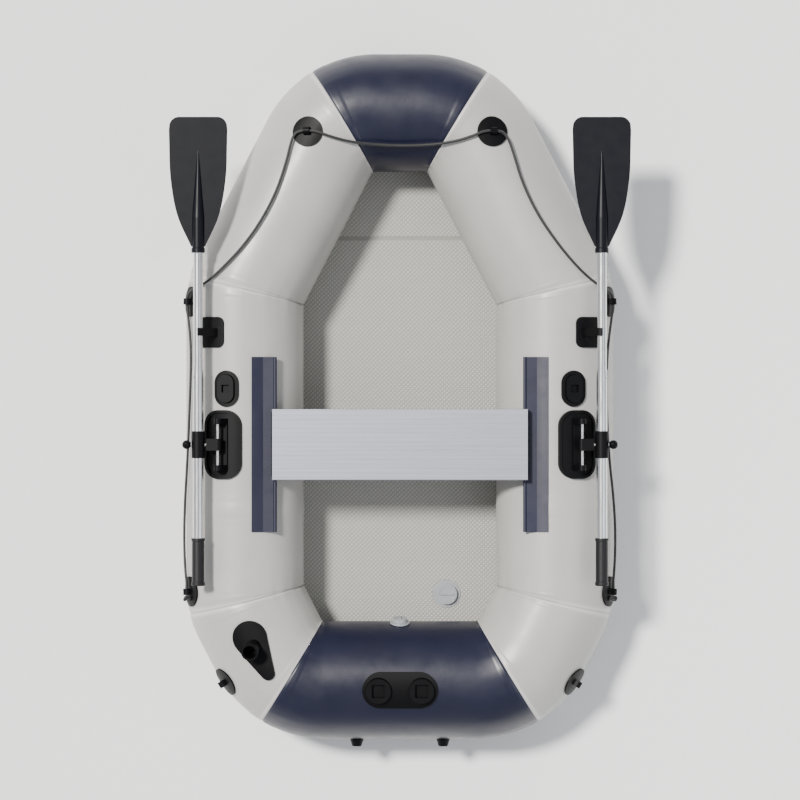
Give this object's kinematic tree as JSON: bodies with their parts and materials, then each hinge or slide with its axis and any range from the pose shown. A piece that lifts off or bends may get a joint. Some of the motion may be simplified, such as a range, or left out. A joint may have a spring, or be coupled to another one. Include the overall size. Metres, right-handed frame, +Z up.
{
  "type": "inflatable dinghy",
  "caption": "Eight-sided inflatable rowing dinghy with welded air tubes, air deck floor, sliding plank seat, swinging oars in oarlocks, lifelines and moulded fittings.",
  "frame": {"origin": "middle of the overall box in plan, on the ground under the bottom sheet's seam tape", "axes": "+Y towards the bow, +X to starboard, +Z up"},
  "size_m": [1.3198, 2.021, 0.41],
  "materials": {
    "tube_grey": "matte welded PVC fabric, light warm grey",
    "tube_navy": "semi-gloss welded PVC fabric, navy",
    "hull_black": "glossy coated PVC fabric, black",
    "seam_tape": "ribbed welded PVC tape, black",
    "deck_fabric": "embossed drop-stitch PVC, light warm grey",
    "baffle_fabric": "thin PVC fabric inside the tubes",
    "valve_plastic": "moulded grey plastic",
    "rail_navy": "extruded keder rail on welded PVC, navy",
    "aluminium": "brushed, clear anodised",
    "steel": "stainless",
    "black_plastic": "moulded nylon, fine matte grain",
    "blade_plastic": "moulded, satin",
    "rope": "braided polypropylene, black"
  },
  "bodies": {
    "hull": {"bow_tube": "tube_navy", "stern_tube": "tube_navy", "bow_quarter_tube_left": "tube_grey", "bow_quarter_tube_right": "tube_grey", "side_tube_left": "tube_grey", "side_tube_right": "tube_grey", "stern_quarter_tube_left": "tube_grey", "stern_quarter_tube_right": "tube_grey", "chamber_baffles": "baffle_fabric", "bottom_sheet": "hull_black", "bottom_seam_tape": "seam_tape", "air_deck": "deck_fabric", "deck_valve_body": "valve_plastic", "stern_valve_body": "valve_plastic", "side_valve_body": "valve_plastic", "seat_rail_left": "rail_navy", "seat_rail_right": "rail_navy", "oarlock_base_left": "black_plastic", "oarlock_base_right": "black_plastic", "oarlock_pin_left": "steel", "oarlock_pin_right": "steel", "oar_keepers": "black_plastic", "accessory_sockets": "black_plastic", "rope_eyes_left": "black_plastic", "rope_eyes_right": "black_plastic", "bow_towing_eye": "black_plastic", "rod_holder": "black_plastic", "stern_plate": "black_plastic", "stern_knobs": "black_plastic", "lifeline_bow": "rope", "lifeline_left": "rope", "lifeline_right": "rope", "towing_rope": "rope"},
    "seat": {"seat_plank": "aluminium", "seat_channels": "black_plastic", "seat_screws": "steel"},
    "arm_left": {"oarlock_arm_left": "black_plastic", "oarlock_bolt_left": "steel"},
    "knob_left": {"oarlock_knob_left": "black_plastic"},
    "oar_left": {"oar_collar_left": "black_plastic", "oar_handle_shaft_left": "aluminium", "oar_blade_shaft_left": "aluminium", "oar_blade_left": "blade_plastic", "oar_grip_left": "black_plastic"},
    "button_left": {"oar_snap_button_left": "steel"},
    "arm_right": {"oarlock_arm_right": "black_plastic", "oarlock_bolt_right": "steel"},
    "knob_right": {"oarlock_knob_right": "black_plastic"},
    "oar_right": {"oar_collar_right": "black_plastic", "oar_handle_shaft_right": "aluminium", "oar_blade_shaft_right": "aluminium", "oar_blade_right": "blade_plastic", "oar_grip_right": "black_plastic"},
    "button_right": {"oar_snap_button_right": "steel"},
    "stern_valve_poppet": {"stern_valve_stem": "valve_plastic"},
    "stern_valve_lid": {"stern_valve_cap": "valve_plastic"},
    "side_valve_poppet": {"side_valve_stem": "valve_plastic"},
    "side_valve_lid": {"side_valve_cap": "valve_plastic"},
    "deck_valve_poppet": {"deck_valve_stem": "valve_plastic"},
    "deck_valve_lid": {"deck_valve_cap": "valve_plastic"}
  },
  "joints": [
    {"name": "oar_lift_left", "type": "hinge", "parent": "hull", "child": "arm_left", "pos_m": [-0.52038, -0.1275, 0.37264], "axis": [0, 1, 0], "range_deg": [0, 90]},
    {"name": "oar_swing_left", "type": "hinge", "parent": "arm_left", "child": "oar_left", "pos_m": [-0.57638, -0.1275, 0.37264], "axis": [-1, 0, 0], "range_deg": [0, 54]},
    {"name": "knob_turn_left", "type": "hinge", "parent": "arm_left", "child": "knob_left", "pos_m": [-0.57638, -0.1275, 0.37264], "axis": [1, 0, 0], "continuous": true},
    {"name": "snap_button_left", "type": "slide", "parent": "oar_left", "child": "button_left", "axis": [0.7071, 0, -0.7071], "range_m": [0, 0.0039], "stiffness_N_per_m": 400, "springref_m": -0.002},
    {"name": "oar_lift_right", "type": "hinge", "parent": "hull", "child": "arm_right", "pos_m": [0.52038, -0.1275, 0.37264], "axis": [0, -1, 0], "range_deg": [0, 90]},
    {"name": "oar_swing_right", "type": "hinge", "parent": "arm_right", "child": "oar_right", "pos_m": [0.57638, -0.1275, 0.37264], "axis": [-1, 0, 0], "range_deg": [0, 54]},
    {"name": "knob_turn_right", "type": "hinge", "parent": "arm_right", "child": "knob_right", "pos_m": [0.57638, -0.1275, 0.37264], "axis": [1, 0, 0], "continuous": true},
    {"name": "snap_button_right", "type": "slide", "parent": "oar_right", "child": "button_right", "axis": [-0.7071, 0, -0.7071], "range_m": [0, 0.0039], "stiffness_N_per_m": 400, "springref_m": -0.002},
    {"name": "seat_slide", "type": "slide", "parent": "hull", "child": "seat", "axis": [0, 1, 0], "range_m": [-0.149, 0.149]},
    {"name": "stern_valve_press", "type": "slide", "parent": "hull", "child": "stern_valve_poppet", "axis": [0, -0.9781, -0.2079], "range_m": [0, 0.005], "stiffness_N_per_m": 300, "springref_m": -0.003},
    {"name": "stern_valve_cap_turn", "type": "hinge", "parent": "hull", "child": "stern_valve_lid", "pos_m": [0, -0.64827, 0.21136], "axis": [0, 0.9781, 0.2079], "continuous": true},
    {"name": "side_valve_press", "type": "slide", "parent": "hull", "child": "side_valve_poppet", "axis": [-0.8829, 0, -0.4695], "range_m": [0, 0.005], "stiffness_N_per_m": 300, "springref_m": -0.003},
    {"name": "side_valve_cap_turn", "type": "hinge", "parent": "hull", "child": "side_valve_lid", "pos_m": [-0.30019, -0.1275, 0.25648], "axis": [0.8829, 0, 0.4695], "continuous": true},
    {"name": "deck_valve_press", "type": "slide", "parent": "hull", "child": "deck_valve_poppet", "axis": [0, 0, -1], "range_m": [0, 0.005], "stiffness_N_per_m": 300, "springref_m": -0.003},
    {"name": "deck_valve_cap_turn", "type": "hinge", "parent": "hull", "child": "deck_valve_lid", "pos_m": [0.138, -0.5735, 0.059], "axis": [0, 0, 1], "continuous": true}
  ],
  "couplings": [
    {"joint": "oar_swing_left", "follows": "oar_lift_left", "ratio": 0.6},
    {"joint": "oar_swing_right", "follows": "oar_lift_right", "ratio": 0.6}
  ]
}
